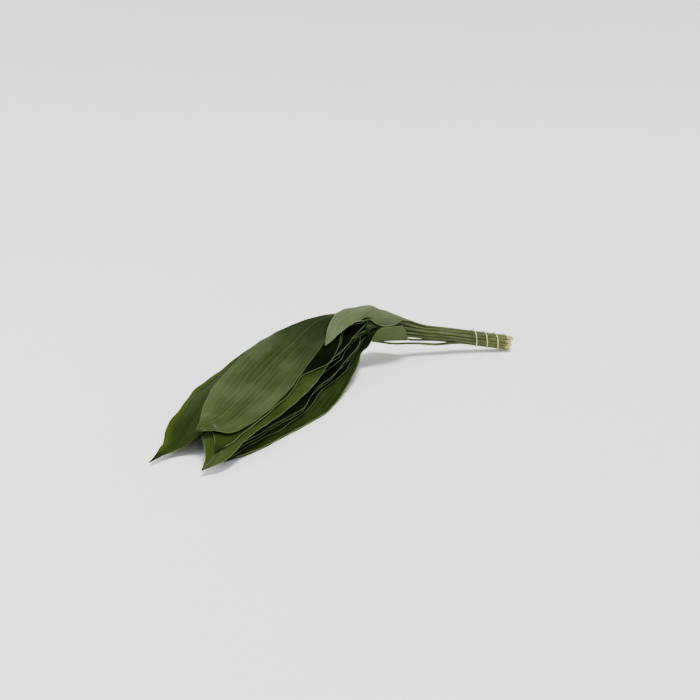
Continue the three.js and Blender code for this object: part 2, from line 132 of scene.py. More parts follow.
OUTLINE = [[0, 0.05], [0.05, 0.16], [0.1, 0.29], [0.18, 0.48], [0.28, 0.71], [0.38, 0.88], [0.5, 0.98],
    [0.6, 1], [0.7, 0.97], [0.85, 0.9], [1, 0.85]]
CUPPED_WIDTHS = [[172, 5], [180, 25], [205, 45], [235, 46], [255, 46], [275, 41], [300, 33], [340, 34],
    [380, 40], [420, 45], [460, 49], [500, 51], [560, 52], [650, 50], [705, 41], [755, 28], [785, 13],
    [803, 1]]
LEFT_WIDTHS = [[252, 2.2], [275, 6], [300, 10], [350, 19], [400, 27], [450, 33], [500, 38], [550, 42.5],
    [600, 46], [650, 48], [690, 49], [730, 45], [765, 33], [790, 22], [802, 14.5], [815, 8.5], [830, 4],
    [850, 0.8]]
FRONT_WIDTHS = [[248, 2.2], [275, 7], [300, 12], [340, 21], [380, 29], [410, 33.5], [440, 36.7],
    [480, 39.7], [520, 42.1], [560, 44.5], [600, 45.6], [640, 43.6], [680, 40.6], [720, 36.6], [748, 33],
    [766, 30], [776, 27], [785, 21], [789, 12], [792, 1]]
TOP_WIDTHS = [[176, 6], [205, 13], [250, 17], [290, 18], [325, 16], [355, 13], [380, 10], [405, 6],
    [432, 0.8]]
INWARD = [0, 0, 0, 0, 5, 8, 5.5, 9, 3, 0, 6, 9, 5, 8, 3]
# end: where the tip is; stem: where the stem ends; half and blunt: the half width and the bluntness of
# the tip, where there are no widths; leaves: where it leaves its seat in the bundle
SINGLES = {
    0: dict(end=813, stem=250, half=52, blunt=1.0, margin=LOW_MARGIN),
    1: dict(end=803, stem=172, margin=CUPPED_MARGIN, leaves=(125, 185), widths=CUPPED_WIDTHS),
    2: dict(end=801, stem=254, half=50, blunt=1.2, line=DRAPED_LINE),
    15: dict(end=860, stem=256, half=46, blunt=0.9, margin=WAVY_MARGIN),
    16: dict(end=850, stem=252, line=LEFT_LINE, widths=LEFT_WIDTHS),
    17: dict(end=829, stem=250, half=46, blunt=1.0, margin=UPPER_MARGIN),
    18: dict(end=792, stem=248, line=FRONT_LINE, widths=FRONT_WIDTHS),
    19: dict(end=432, stem=176, line=TOP_LINE, leaves=(150, 250), widths=TOP_WIDTHS),
}
# room between two layers: first and last leaf below it, place and reach along, place and reach across, share
OPENINGS = [[3, 3, 420, 70, 75, 25, 4], [7, 7, 380, 80, 55, 25, 4], [9, 9, 560, 60, 80, 25, 5],
    [12, 12, 620, 60, 75, 22, 5], [14, 14, 450, 70, 50, 25, 4], [16, 16, 340, 60, 30, 25, 4],
    [0, 17, 390, 75, -48, 36, 2.2], [15, 15, 690, 190, 0, 70, 2.8], [1, 1, 310, 60, -10, 50, 1.2],
    [16, 16, 520, 60, -26, 24, 2.2], [17, 17, 775, 75, 32, 45, 3.6], [17, 17, 525, 50, 3, 30, 1.1],
    [15, 15, 716, 45, -7, 25, 1.4], [11, 11, 392, 45, 26, 20, 1.2], [14, 14, 710, 45, -12, 25, 1.4],
    [5, 5, 272, 30, 2, 20, 0.4], [1, 1, 285, 30, 30, 14, 1.6], [10, 10, 738, 45, 8, 25, 0.7]]

# ---------------------------------------------------------------- colours, linear
# coat: share of the glossy layer; rim: share and width in mm of the yellower margin, partly its own tint and
# partly painted light on the lit margin, and the place across where it starts to fade towards the right;
# shade: share of the painted shade colour at the blade's base, where the stack and the bend shade it, and
# the distances from the cut end where it starts to fade and is gone
# base greens, darker than the big leaf's: partly painted shade, darkened for the stack's shaded flank
GREEN_LOOK = {
    "dark": (0.006, 0.011, 0.002), "light": (0.014, 0.023, 0.004), "streak": (0.021, 0.032, 0.007),
    "vein": (0.030, 0.043, 0.012), "tip_and_lit_rim_tint": (0.026, 0.040, 0.003), "edge": (0.15, 0.17, 0.07),
    "under": (0.032, 0.046, 0.017), "painted_shade": (0.006, 0.011, 0.002), "rough": 0.46, "coat": 0.035,
    "rim": (0.12, 3.0, 2.0), "shade": (0.4, 330.0, 460.0)}
# the leaves deep in the stack: painted shade almost to black over most of their length, and no lit margin
INNER_SHADED_LOOK = {
    **GREEN_LOOK, "edge": (0.11, 0.14, 0.055), "painted_shade": (0.0012, 0.0025, 0.0006), "coat": 0.015,
    "rim": (0.0, 3.0, 2.0), "shade": (0.95, 470.0, 700.0)}
# the strip: a lighter copy of the inner leaves' look, painted light for its lit face, with its painted shade
# ending sooner
STRIP_LIT_LOOK = {
    **INNER_SHADED_LOOK, "dark": (0.014, 0.024, 0.004), "light": (0.028, 0.044, 0.007),
    "streak": (0.036, 0.052, 0.011), "coat": 0.04, "shade": (0.95, 430.0, 560.0)}
# the big leaf: strong painted shade over its upper part near the bend
FRONT_LOOK = {
    **GREEN_LOOK, "dark": (0.018, 0.028, 0.007), "light": (0.038, 0.053, 0.016),
    "streak": (0.056, 0.074, 0.027), "vein": (0.056, 0.074, 0.028), "edge": (0.075, 0.100, 0.025),
    "coat": 0.10, "rim": (0.2, 5.0, 2.0), "shade": (0.75, 380.0, 600.0)}
# the left leaf: a wide yellow-green margin on its left side only, partly painted light where that margin is
# lit through
LEFT_LOOK = {
    **GREEN_LOOK, "tip_and_lit_rim_tint": (0.046, 0.064, 0.007), "edge": (0.07, 0.09, 0.015), "coat": 0.03,
    "rim": (0.65, 15.0, 0.0), "shade": (0.3, 330.0, 460.0)}
PALE_LOOK = {
    **GREEN_LOOK, "dark": (0.058, 0.076, 0.034), "light": (0.090, 0.108, 0.054),
    "streak": (0.105, 0.124, 0.064), "vein": (0.140, 0.162, 0.090), "tip_and_lit_rim_tint": (0.095, 0.113, 0.045),
    "edge": (0.17, 0.20, 0.09), "under": (0.080, 0.100, 0.045), "rough": 0.55,
    "shade": (0.0, 330.0, 460.0)}
CUPPED_LOOK = {**GREEN_LOOK, "under": (0.082, 0.103, 0.043)}
STEM_DARK, STEM_LIGHT, STEM_FOOT = (0.045, 0.060, 0.020), (0.120, 0.138, 0.066), (0.180, 0.195, 0.065)
CUT_END = (0.50, 0.42, 0.16)
TIE_DARK, TIE_LIGHT, TIE_WORN = (0.42, 0.38, 0.17), (0.76, 0.75, 0.43), (0.50, 0.46, 0.24)
FLOOR_LOW, FLOOR_HIGH = (0.90, 0.90, 0.89), (0.93, 0.93, 0.92)
SURROUND = (0.96, 0.98, 1, 1)

# ---------------------------------------------------------------- surfaces
# a pair says where, in mm, a part of the pattern starts and where it is full
COARSE_VEINS, FINE_VEINS = 14, 52      # between the midrib and a margin
COARSE_SHARE, FINE_SHARE = 0.35, 0.22
BLADE_WIDE, STEM_NARROW = (4.0, 9.0), (7.0, 3.0)     # half widths
STEM_NEAR, FOOT_NEAR, CUT_NEAR = (420.0, 300.0), (60.0, 8.0), (10.0, 4.5)      # from the cut end
# EDGE: the margin's thin light line, partly painted highlight
TIP_NEAR, EDGE_NEAR, RIB_NEAR = (70.0, 0.0), (1.0, 0.3), (1.5, 0.4)
TIP_SHARE, EDGE_SHARE, RIB_SHARE, UNDER_SHARE, FOOT_SHARE = 0.4, 0.85, 0.3, 0.75, 0.5
ROUGHER = 0.16                         # in patches, and as much again underneath
COAT_ROUGH, TIE_ROUGH, FLOOR_ROUGH = 0.30, 0.85, 0.75
LEAF_BUMP, LEAF_BUMP_M = 0.35, 0.0006
TIE_BUMP, TIE_BUMP_M = 0.5, 0.0003
TIE_FIBRES, TIE_TWIST = 2.0, 900.0

# ---------------------------------------------------------------- camera and light
PITCH, TILT = 13.44, 0.83              # degrees
EYE = (11.56, -1148.31, 424.21)        # mm, in the spine's own axes
FRAME_PX, FOCAL_PX, SENSOR = 700, 1087.9, 36
SURROUND_STRENGTH = 0.8
SUN_FROM, SUN_STRENGTH, SUN_ANGLE = (0.25, 0.08, 1.0), 4.8, 24
SHEEN_FROM, SHEEN_AT = (-1.7, 1.1, 1.3), (-0.2, 0, 0.05)
SHEEN_SIZE, SHEEN_POWER = 0.9, 22
FLOOR_R, FLOOR_CURVE, FLOOR_SIDES = 3.0, 3.0, 96   # flat out to the first, m, then curving up


# ---------------------------------------------------------------- small helpers
def ease(a, b, v):
    """0 up to a, 1 from b on, smooth between."""
    t = np.clip((np.asarray(v, float) - a) / (b - a), 0, 1)
    return t * t * (3 - 2 * t)


def chance(i, j):
    """A number in 0..1 that is always the same for the same pair."""
    v = math.sin(i * 12.9898 + j * 78.233) * 43758.5453
    return v - math.floor(v)


def along(rows, s, column=1):
    """Smooth value at s through rows of [s, value...]."""
    rows = np.asarray(rows, float)
    last = len(rows) - 1
    if s <= rows[0][0]:
        return rows[0][column]
    if s >= rows[last][0]:
        return rows[last][column]
    i = int(np.searchsorted(rows[:, 0], s, side="left")) - 1

    def slope(k):
        a, b = rows[max(k - 1, 0)], rows[min(k + 1, last)]
        return (b[column] - a[column]) / (b[0] - a[0])
    h = rows[i + 1][0] - rows[i][0]
    t = (s - rows[i][0]) / h
    t2, t3 = t * t, t * t * t
    return ((2 * t3 - 3 * t2 + 1) * rows[i][column] + (t3 - 2 * t2 + t) * slope(i) * h
            + (3 * t2 - 2 * t3) * rows[i + 1][column] + (t3 - t2) * slope(i + 1) * h)


# ---------------------------------------------------------------- the bunch's own frame
def spine_point(s):
    """Place of the stack's lowest layer at distance s."""
    return np.array([along(SPINE, s, c) for c in (1, 2, 3)])


def frame_at(s):
    """Origin, forward, across (right) and up directions of the stack at distance s."""
    forward = spine_point(s + 1) - spine_point(s - 1)
    forward /= np.linalg.norm(forward)
    across = np.cross([0, 0, 1], forward)
    across /= np.linalg.norm(across)
    up = np.cross(forward, across)
    a = math.radians(along(ROLL, s))
    return (spine_point(s), forward, across * math.cos(a) - up * math.sin(a),
            up * math.cos(a) + across * math.sin(a))


def leaf_numbers(k):
    """Sizes of leaf k: a named one, or one of the outer or inner group on the right."""
    if k in SINGLES:
        return SINGLES[k]
    r = [chance(k, j) - 0.5 for j in range(11, 18)]
    outer = k < OUTER_LEAVES
    margin = [[s, x + ease(300, 380, s) * (2 * math.sin(s / (18 + 8 * r[0]) + 9 * r[1]) - INWARD[k])
               + 14 * (r[2] - 0.2) * ease(640, 840, s)]
              for s, x in (OUTER_MARGIN if outer else INNER_MARGIN)]
    return dict(end=(807 if outer else 777) + 12 * math.floor(1.5 + 3 * r[3] + 0.5), stem=256 + 14 * r[4],
                half=48.5 + 5 * r[5] - 0.6 * INWARD[k], blunt=0.95 + 0.6 * r[6], margin=margin)


NUMBERS = [leaf_numbers(k) for k in range(LEAVES)]


def stem_radius(s):
    """The stems get thinner towards the blades, and run on into them as midribs."""
    return STEM_R - 0.4 * ease(110, 200, s) - 0.5 * ease(232, 330, s) - 0.7 * ease(330, 520, s)


def half_width(k, s):
    """Half width of leaf k at distance s, along its surface."""
    n = NUMBERS[k]
    if s <= n["stem"]:
        return stem_radius(s)
    if "widths" in n:
        return along(n["widths"], s)
    u = min(1, max(0, (s - n["stem"]) / (n["end"] - n["stem"])))
    tip = max(0, 1 - ((u - 0.7) / 0.3) ** 2) ** n["blunt"] if u > 0.7 else 1
    return max(0.5, n["half"] * along(OUTLINE, u) * tip)


def middle(k, s):
    """Sideways place of leaf k's middle at distance s."""
    n = NUMBERS[k]
    free = ease(*n.get("leaves", (235, 330)), s)
    place = along(n["margin"], s) - half_width(k, s) if "margin" in n else along(n["line"], s)
    return (1 - free) * SEATS[k][0] + free * place


# ---------------------------------------------------------------- the stack of layers
X_STEP = 2.5
XS = np.arange(-100, 140.1, X_STEP)    # places across the stack at which the layers are worked out


def layer_step(j, s, slope):
    """Height of the layer step above leaf j, over XS."""
    length = STEP_WAVE_LENGTH[0] + STEP_WAVE_LENGTH[1] * chance(j, 1)
    phase = 2 * math.pi * chance(j, 2) + 2.2 * (chance(j, 3) - 0.5) * XS / 30
    away = np.minimum(1, np.abs(XS - middle(j, s)) / 40)
    wave = STEP_WAVE * np.sin(2 * math.pi * s / length + phase) * away
    lean = 1 - along(LEAN, s) * np.clip(XS / 50, -1.2, 1.2)
    step = along(STEP, s) * lean * (1 + wave)
    for first, last, s0, ds, x0, dx, height in OPENINGS:
        if first <= j <= last:
            step = step + height * np.exp(-(((s - s0) / ds) ** 2) - ((XS - x0) / dx) ** 2)
    return np.maximum(MIN_STEP * np.hypot(1, slope), step)


def leaf_row(k, s, row, ground):
    """The row of leaf k itself, which may leave the stack's layer: up round the stems, or down outside."""
    if k == CUPPED:
        cup = ease(160, 190, s) * (1 - ease(246, 306, s))
        return row + cup * np.minimum(30, 0.44 * np.maximum(0, XS - 15.5) ** 2)
    if k == DRAPED:
        drape = ease(290, 400, s) * (1 - ease(700, 820, s))
        return np.maximum(ground, row - drape * 0.032 * np.maximum(0, -8 - XS) ** 2)
    return row


@functools.lru_cache(maxsize=None)
def layers_at(s):
    """All layers at distance s: their heights, slopes and lengths over XS."""
    axes = frame_at(s)
    ground = (BLADE_T / 2 - axes[0][2] - XS * axes[2][2]) / axes[3][2]
    row = np.maximum(0, ground)
    rows = []
    for k in range(LEAVES):
        here = leaf_row(k, s, row, ground)
        slope = np.gradient(here, X_STEP)
        length = np.concatenate([[0], np.cumsum(np.hypot(X_STEP, np.diff(here)))])
        rows.append((here, slope, length))
        mid = np.interp(middle(k, s), XS, length)
        half = half_width(k, s)
        left, right = np.interp([mid - half, mid + half], length, XS)
        present = 1 - ease(NUMBERS[k]["end"] + 4, NUMBERS[k]["end"] + 60, s)
        past = np.maximum(np.maximum(left - XS, XS - right), 0)
        row = row + layer_step(k, s, slope) * present * (1 - ease(0, DRAPE, past))
    return axes, rows


# ---------------------------------------------------------------- one leaf
def wider_half(k, s):
    """Half width with the blade's base filled out a little, so the bases close up at the bend."""
    half = half_width(k, s)
    if k in (0, CUPPED):
        return half
    if k == TOP:
        return half + TOP_WIDER * ease(190, 232, s) * (1 - ease(256, 276, s))
    return half + BASE_WIDER * ease(205, 240, s) * (1 - ease(285, 340, s))


def relief(k, s, columns, half):
    """Small folds along the veins and a soft wave along the margins."""
    blade = ease(280, 380, s) * (1 - ease(NUMBERS[k]["end"] - 60, NUMBERS[k]["end"], s))
    count = FOLD_COUNT[0] + FOLD_COUNT[1] * chance(k, 41)
    folds = FOLD_HEIGHT * np.cos(2 * math.pi * columns * count + 6 * chance(k, 42))
    length = MARGIN_LENGTH[0] + MARGIN_LENGTH[1] * chance(k, 43)
    side = np.where(columns > 0, 0.0, 2.1)
    margin = np.clip((np.abs(columns) - 0.7) / 0.3, 0, 1) ** 2
    wave = MARGIN_WAVE * margin * np.sin(2 * math.pi * s / length + 6.3 * chance(k, 44) + side)
    return blade * (folds + wave)


def own_height(k, s, across):
    """Height that only leaf k has, over its layer."""
    if k == 0:          # its stem hangs below the others
        return -8.8 * ease(74, 138, s) * (1 - ease(190, 262, s))
    if k == CUPPED:     # so does this one's, a little
        return -2.0 * ease(110, 165, s) * (1 - ease(205, 262, s))
    if k == BIG:        # the left side of its tip turns up
        return 8 * ease(745, 790, s) * (1 - ease(-8, 16, across))
    if k == TOP:        # it arches over the bend; its right margin turns down, its tip's left side up
        arch = 2.8 * (ease(120, 176, s) - ease(225, 290, s))
        arch = arch + 1.3 * ease(178, 212, s) * (1 - ease(216, 268, s))
        ridge = 2.6 * ease(208, 238, s) * (1 - ease(243, 270, s)) * (1 - ease(2, 20, across))
        margin = 0.05 * ease(190, 215, s) * (1 - ease(280, 320, s)) * np.maximum(0, across - 5) ** 2
        return arch + ridge - margin - 0.5 * ease(320, 430, s) * np.minimum(0, across)
    return 0.0


def skew(k, s):
    """How far a ring of leaf k is skewed along the leaf, per mm across: the big leaf's tip turns left."""
    return 0.5 * float(ease(735, 790, s)) if k == BIG else 0.0


def ring_part(k, s, at, columns):
    """Points over and under leaf k's ring of distance s, where the layers are those of distance `at`."""
    (origin, forward, across, up), rows = layers_at(round(at))
    origin = origin + forward * (at - round(at))
    height, slope, length = rows[k]
    n = NUMBERS[k]
    mid, half, r = middle(k, s), half_width(k, s), stem_radius(s)
    base = n["stem"] - BASE_EARLIER * (k not in (0, CUPPED, TOP))
    flat = ease(base + FLATTENED[0], base + FLATTENED[1], s)
    layered = ease(*LAYERED, s)
    seat = BUNDLE_R + SEATS[k][1]
    mid_y = np.interp(mid, XS, height)
    stem_y = (1 - layered) * seat + layered * mid_y + own_height(k, s, 0)
    room = mid_y - np.interp(mid, XS, rows[k - 1][0]) if k > 0 else LOWEST_ROOM
    depth = min(KEEL_DEPTH, max(0, room - BLADE_T - KEEL_CLEAR))
    depth *= 1 - ease(n["end"] - 160, n["end"] - 20, s)
    x = np.interp(np.interp(mid, XS, length) + columns * wider_half(k, s), length, XS)
    row_y = np.interp(x, XS, height)
    y = (1 - layered) * (seat + row_y - mid_y) + layered * row_y + own_height(k, s, x - mid)
    y = y + relief(k, s, columns, half)
    m = np.interp(x, XS, slope)
    nx, ny = -m / np.hypot(1, m), 1 / np.hypot(1, m)
    angle = math.pi / 2 * (1 - columns)
    groove = GROOVE_DEPTH * np.exp(-((columns * half) / GROOVE_WIDTH) ** 2) * ease(300, 360, s)
    keel = depth * np.maximum(0, 1 - np.abs(columns) / KEEL_SHARE)
    out = []
    for side in (1, -1):
        d = BLADE_T / 2 - groove if side > 0 else -BLADE_T / 2 - keel
        px = (1 - flat) * (mid + r * np.cos(angle)) + flat * (x + nx * d)
        py = (1 - flat) * (stem_y + side * r * np.sin(angle)) + flat * (y + ny * d)
        points = origin + px[:, None] * across + py[:, None] * up
        points[:, 2] = np.where(points[:, 2] < RESTING, 0, points[:, 2])
        out.append(points)
    return out


def leaf_ring(k, s, columns):
    """Points over and under leaf k at distance s."""
    bend = skew(k, s)
    if bend == 0:
        return ring_part(k, s, s, columns)
    half = half_width(k, s)
    parts = [ring_part(k, s, s + bend * c * half, columns[i:i + 1]) for i, c in enumerate(columns)]
    return [np.concatenate([p[side] for p in parts]) for side in (0, 1)]


def to_part(points):
    """From the spine's own axes in mm to the part's frame in metres."""
    a = math.radians(TURN)
    x = points[..., 0] * math.cos(a) - points[..., 1] * math.sin(a) - SHIFT[0]
    y = points[..., 0] * math.sin(a) + points[..., 1] * math.cos(a) - SHIFT[1]
    return np.stack([x, y, points[..., 2]], -1) / 1000


def mesh_object(name, verts, faces, material):
    """A smooth-shaded object at the origin, with its place in its mesh."""
    mesh = bpy.data.meshes.new(name)
    mesh.from_pydata(verts.tolist(), [], faces)
    mesh.polygons.foreach_set("use_smooth", [True] * len(mesh.polygons))
    mesh.materials.append(material)
    obj = bpy.data.objects.new(name, mesh)
    bpy.context.scene.collection.objects.link(obj)
    mesh.update()
    return obj


def skin_faces(count, size):
    """Quads round a run of rings, and a cap on each end."""
    faces = []
    for i in range(count - 1):
        for j in range(size):
            a, b = i * size + j, i * size + (j + 1) % size
            faces.append((a, a + size, b + size, b))
    last = (count - 1) * size
    faces.append(tuple(range(size)))
    faces.append(tuple(range(last + size - 1, last - 1, -1)))
    return faces


def vector_layer(obj, title, *parts):
    """Keep three numbers for each point, for the materials."""
    layer = obj.data.attributes.new(title, "FLOAT_VECTOR", "POINT")
    layer.data.foreach_set("vector", np.stack(parts, -1).astype(np.float32).ravel())


def build_leaf(k, material):
    """Leaf k with its petiole, one closed skin from the cut end to the tip."""
    n = NUMBERS[k]
    first = CUT_SPREAD * (chance(k, 31) - 0.5)
    inner = np.arange(0, n["end"], STATION_STEP)
    places = [first, *inner[(inner > first + 2) & (inner < n["end"] - 1.5)], n["end"]]
    crowd = math.pi / 2 * CROWDING
    columns = np.sin(np.linspace(-1, 1, COLUMN_COUNT) * crowd) / math.sin(crowd)
    rings, notes = [], []
    for s in places:
        top, bottom = leaf_ring(k, float(s), columns)
        rings.append(np.concatenate([top, bottom[::-1]]))
        half = float(half_width(k, s))
        for side, order in ((1.0, columns), (-1.0, columns[::-1])):
            notes.append(np.stack([order, np.full(len(order), half), np.full(len(order), side),
                                   np.full(len(order), s - first), np.full(len(order), n["end"] - s)], -1))
    verts = to_part(np.concatenate(rings))
    obj = mesh_object("aspidistra_leaf_%02d" % (k + 1), verts, skin_faces(len(places), 2 * COLUMN_COUNT),
                      material)
    share, half, side, start, rest = np.concatenate(notes).T
    vector_layer(obj, "blade", share, half, side)
    vector_layer(obj, "place", start, rest, np.full(len(start), float(k)))
    return obj


# ---------------------------------------------------------------- materials
class Nodes:
    """A material's node tree, with short ways to add the few kinds of node that are used."""

    def __init__(self, name):
        self.material = bpy.data.materials.new(name)
        self.material.use_nodes = True
        self.tree = self.material.node_tree
        self.shader = self.tree.nodes["Principled BSDF"]

    def fill(self, socket, value):
        """Link a socket, or set its own value."""
        if isinstance(value, bpy.types.NodeSocket):
            self.tree.links.new(value, socket)
        elif isinstance(value, tuple) and socket.type == "RGBA":
            socket.default_value = (*value, 1)
        else:
            socket.default_value = value

    def into(self, name, value):
        """Give the surface's own socket a number or a pattern."""
        self.fill(self.shader.inputs[name], value)

    def maths(self, operation, a, b=0.0, clamp=False):
        node = self.tree.nodes.new("ShaderNodeMath")
        node.operation = operation
        node.use_clamp = clamp
        self.fill(node.inputs[0], a)
        self.fill(node.inputs[1], b)
        return node.outputs[0]

    def times(self, a, b):
        return self.maths("MULTIPLY", a, b)

    def plus(self, a, b, clamp=False):
        return self.maths("ADD", a, b, clamp)

    def ramp(self, value, low, high):
        """0 below low, 1 above high, smooth between; low may be the larger one."""
        node = self.tree.nodes.new("ShaderNodeMapRange")
        node.interpolation_type = "SMOOTHSTEP"
        flip = low > high
        self.fill(node.inputs["Value"], value)
        self.fill(node.inputs["From Min"], min(low, high))
        self.fill(node.inputs["From Max"], max(low, high))
        self.fill(node.inputs["To Min"], 1.0 if flip else 0.0)
        self.fill(node.inputs["To Max"], 0.0 if flip else 1.0)
        return node.outputs["Result"]

    def mix(self, share, a, b):
        """Colour a, with that share of colour b."""
        node = self.tree.nodes.new("ShaderNodeMix")
        node.data_type = "RGBA"
        self.fill(node.inputs[0], share)
        self.fill(node.inputs[6], a)
        self.fill(node.inputs[7], b)
        return node.outputs[2]

    def attribute(self, name):
        """The three numbers that the points keep under that name."""
        node = self.tree.nodes.new("ShaderNodeAttribute")
        node.attribute_name = name
        split = self.tree.nodes.new("ShaderNodeSeparateXYZ")
        self.tree.links.new(node.outputs["Vector"], split.inputs[0])
        return split.outputs

    def vector(self, x, y, z):
        node = self.tree.nodes.new("ShaderNodeCombineXYZ")
        for socket, value in zip(node.inputs, (x, y, z)):
            self.fill(socket, value)
        return node.outputs[0]

    def noise(self, vector, scale, detail):
        node = self.tree.nodes.new("ShaderNodeTexNoise")
        self.fill(node.inputs["Vector"], vector)
        self.fill(node.inputs["Scale"], scale)
        self.fill(node.inputs["Detail"], detail)
        return node.outputs[0]

    def bump(self, height, strength, distance):
        node = self.tree.nodes.new("ShaderNodeBump")
        self.fill(node.inputs["Height"], height)
        self.fill(node.inputs["Strength"], strength)
        self.fill(node.inputs["Distance"], distance)
        self.into("Normal", node.outputs[0])


def vein_pattern(n, share, count, warp):
    """1 on each of `count` veins between the midrib and the margin, 0 between them."""
    place = n.times(share, math.pi * count)
    wave = n.maths("COSINE", n.plus(place, warp))
    return n.ramp(wave, 0.35, 1.0)


def leaf_material(name, look):
    """One leaf surface: parallel veins, midrib, pale margins partly painted light, painted shade at the
    base, paler underside, petiole and cut end.
    """
    n = Nodes(name)
    share, half, side = n.attribute("blade")
    start, rest, number = n.attribute("place")
    across = n.times(share, half)
    # streaks that run the length of the blade, and broad patches
    streaks = n.noise(n.vector(n.times(share, 16.0), n.times(start, 0.0035), number), 2.4, 3.0)
    fine = n.noise(n.vector(n.times(share, 60.0), n.times(start, 0.02), number), 1.0, 2.0)
    patches = n.noise(n.vector(n.times(across, 0.02), n.times(start, 0.008), n.times(number, 3.7)), 1.6, 2.0)
    colour = n.mix(n.ramp(patches, 0.3, 0.7), look["dark"], look["light"])
    colour = n.mix(n.times(n.ramp(streaks, 0.40, 0.72), 0.6), colour, look["streak"])
    # veins, which the streaks push a little to the side
    warp = n.times(streaks, 1.5)
    strong = vein_pattern(n, share, COARSE_VEINS, warp)
    thin = vein_pattern(n, share, FINE_VEINS, warp)
    blade = n.ramp(half, *BLADE_WIDE)
    colour = n.mix(n.times(n.times(strong, COARSE_SHARE), blade), colour, look["vein"])
    colour = n.mix(n.times(n.times(thin, FINE_SHARE), blade), colour, look["vein"])
    colour = n.mix(n.times(n.ramp(fine, 0.45, 0.8), 0.25), colour, look["dark"])
    # painted shade: darker towards the blade's base, where the stack and the bend shade the leaves
    shade_share, shade_from, shade_to = look["shade"]
    colour = n.mix(n.times(n.ramp(start, shade_to, shade_from), shade_share), colour, look["painted_shade"])
    # yellower towards the tip; towards the margins partly the leaf's own tint and partly painted light on
    # the lit margin, then the thin light lines of the margin, partly painted highlight, and the midrib
    from_edge = n.maths("SUBTRACT", half, n.maths("ABSOLUTE", across))
    rim_share, rim_width, rim_side = look["rim"]
    rim = n.times(n.ramp(from_edge, rim_width, 0.0), rim_share)
    rim = n.times(rim, n.ramp(share, rim_side, rim_side - 0.5))
    tip = n.times(n.ramp(rest, *TIP_NEAR), TIP_SHARE)
    colour = n.mix(n.times(n.maths("MAXIMUM", rim, tip), blade), colour, look["tip_and_lit_rim_tint"])
    # the margin's thin light line: partly its own paler tone, partly painted highlight where the margin
    # catches the light
    line = n.times(n.ramp(from_edge, *EDGE_NEAR), blade)
    colour = n.mix(n.times(line, EDGE_SHARE), colour, look["edge"])
    rib = n.times(n.ramp(n.maths("ABSOLUTE", across), *RIB_NEAR), blade)
    colour = n.mix(n.times(rib, RIB_SHARE), colour, look["vein"])
    # underside, petiole, cut end
    under = n.ramp(side, 0.2, -0.2)
    colour = n.mix(n.times(n.times(under, UNDER_SHARE), blade), colour, look["under"])
    stem = n.times(n.ramp(half, *STEM_NARROW), n.ramp(start, *STEM_NEAR))
    grain = n.noise(n.vector(n.times(share, 2.0), n.times(start, 0.015), number), 2.0, 3.0)
    petiole = n.mix(n.ramp(grain, 0.35, 0.7), STEM_DARK, STEM_LIGHT)
    petiole = n.mix(n.times(n.ramp(start, *FOOT_NEAR), FOOT_SHARE), petiole, STEM_FOOT)
    colour = n.mix(stem, colour, petiole)
    colour = n.mix(n.ramp(start, *CUT_NEAR), colour, CUT_END)
    n.into("Base Color", colour)
    rough = n.plus(look["rough"], n.times(patches, ROUGHER))
    n.into("Roughness", n.plus(rough, n.times(under, ROUGHER), clamp=True))
    # a thin waxy coat, patchy like the streaks, and no other shine
    n.into("Specular IOR Level", 0.0)
    sheen = n.ramp(n.plus(patches, n.times(streaks, 0.4)), 0.5, 0.9)
    gloss = n.times(sheen, 1.5 * look["coat"])
    n.into("Coat Weight", n.plus(gloss, 0.3 * look["coat"]))
    n.into("Coat Roughness", COAT_ROUGH)
    height = n.plus(n.times(strong, 0.7), n.times(thin, 0.4))
    height = n.plus(n.times(height, blade), n.times(streaks, 1.2))
    n.bump(height, LEAF_BUMP, LEAF_BUMP_M)
    return n.material


def tie_material():
    """Twisted pale fibre, worn in places."""
    n = Nodes("tie_fibre")
    share, turn, _ = n.attribute("strand")
    fibre = n.maths("SINE", n.plus(n.times(turn, TIE_FIBRES), n.times(share, TIE_TWIST)))
    wear = n.noise(n.vector(n.times(share, 60.0), turn, 0.0), 1.5, 3.0)
    colour = n.mix(n.ramp(fibre, -0.9, 0.6), TIE_DARK, TIE_LIGHT)
    n.into("Base Color", n.mix(n.times(n.ramp(wear, 0.5, 0.8), 0.4), colour, TIE_WORN))
    n.into("Roughness", TIE_ROUGH)
    n.bump(fibre, TIE_BUMP, TIE_BUMP_M)
    return n.material


def floor_material():
    """Matt and pale, with a very faint change of tone."""
    n = Nodes("pale_floor")
    place = n.tree.nodes.new("ShaderNodeTexCoord").outputs["Object"]
    n.into("Base Color", n.mix(n.noise(place, 3.0, 2.0), FLOOR_LOW, FLOOR_HIGH))
    n.into("Roughness", FLOOR_ROUGH)
    return n.material


# ---------------------------------------------------------------- the tie
def build_tie(material):
    """The strand wound round the stems near their cut ends."""
    radius = BUNDLE_R + TIE_GAP + TIE_R
    round_strand = np.arange(TIE_SIDES) * 2 * math.pi / TIE_SIDES

    def place(t):
        s = TIE_FROM + (TIE_TO - TIE_FROM) * t
        a = 2 * math.pi * TIE_TURNS * t + TIE_START
        origin, _, across, up = frame_at(s)
        out = across * math.cos(a) + up * math.sin(a)
        return origin + up * BUNDLE_R + out * radius, out
    rings = []
    for i in range(TIE_RINGS + 1):
        at, out = place(i / TIE_RINGS)
        ahead = place((i + 0.2) / TIE_RINGS)[0] - place((i - 0.2) / TIE_RINGS)[0]
        side = np.cross(out, ahead)
        side /= np.linalg.norm(side)
        rings.append([at + TIE_R * (out * math.cos(a) + side * math.sin(a)) for a in round_strand])
    verts = to_part(np.array(rings).reshape(-1, 3))
    tie = mesh_object("tie_strand", verts, skin_faces(len(rings), TIE_SIDES), material)
    share = np.repeat(np.arange(len(rings)) / TIE_RINGS, TIE_SIDES)
    turn = np.tile(round_strand, len(rings))
    vector_layer(tie, "strand", share, turn, 0 * turn)
    return tie


# ---------------------------------------------------------------- the scene round it
def add(name, data):
    """A new object for a camera or a light."""
    obj = bpy.data.objects.new(name, data)
    bpy.context.scene.collection.objects.link(obj)
    return obj


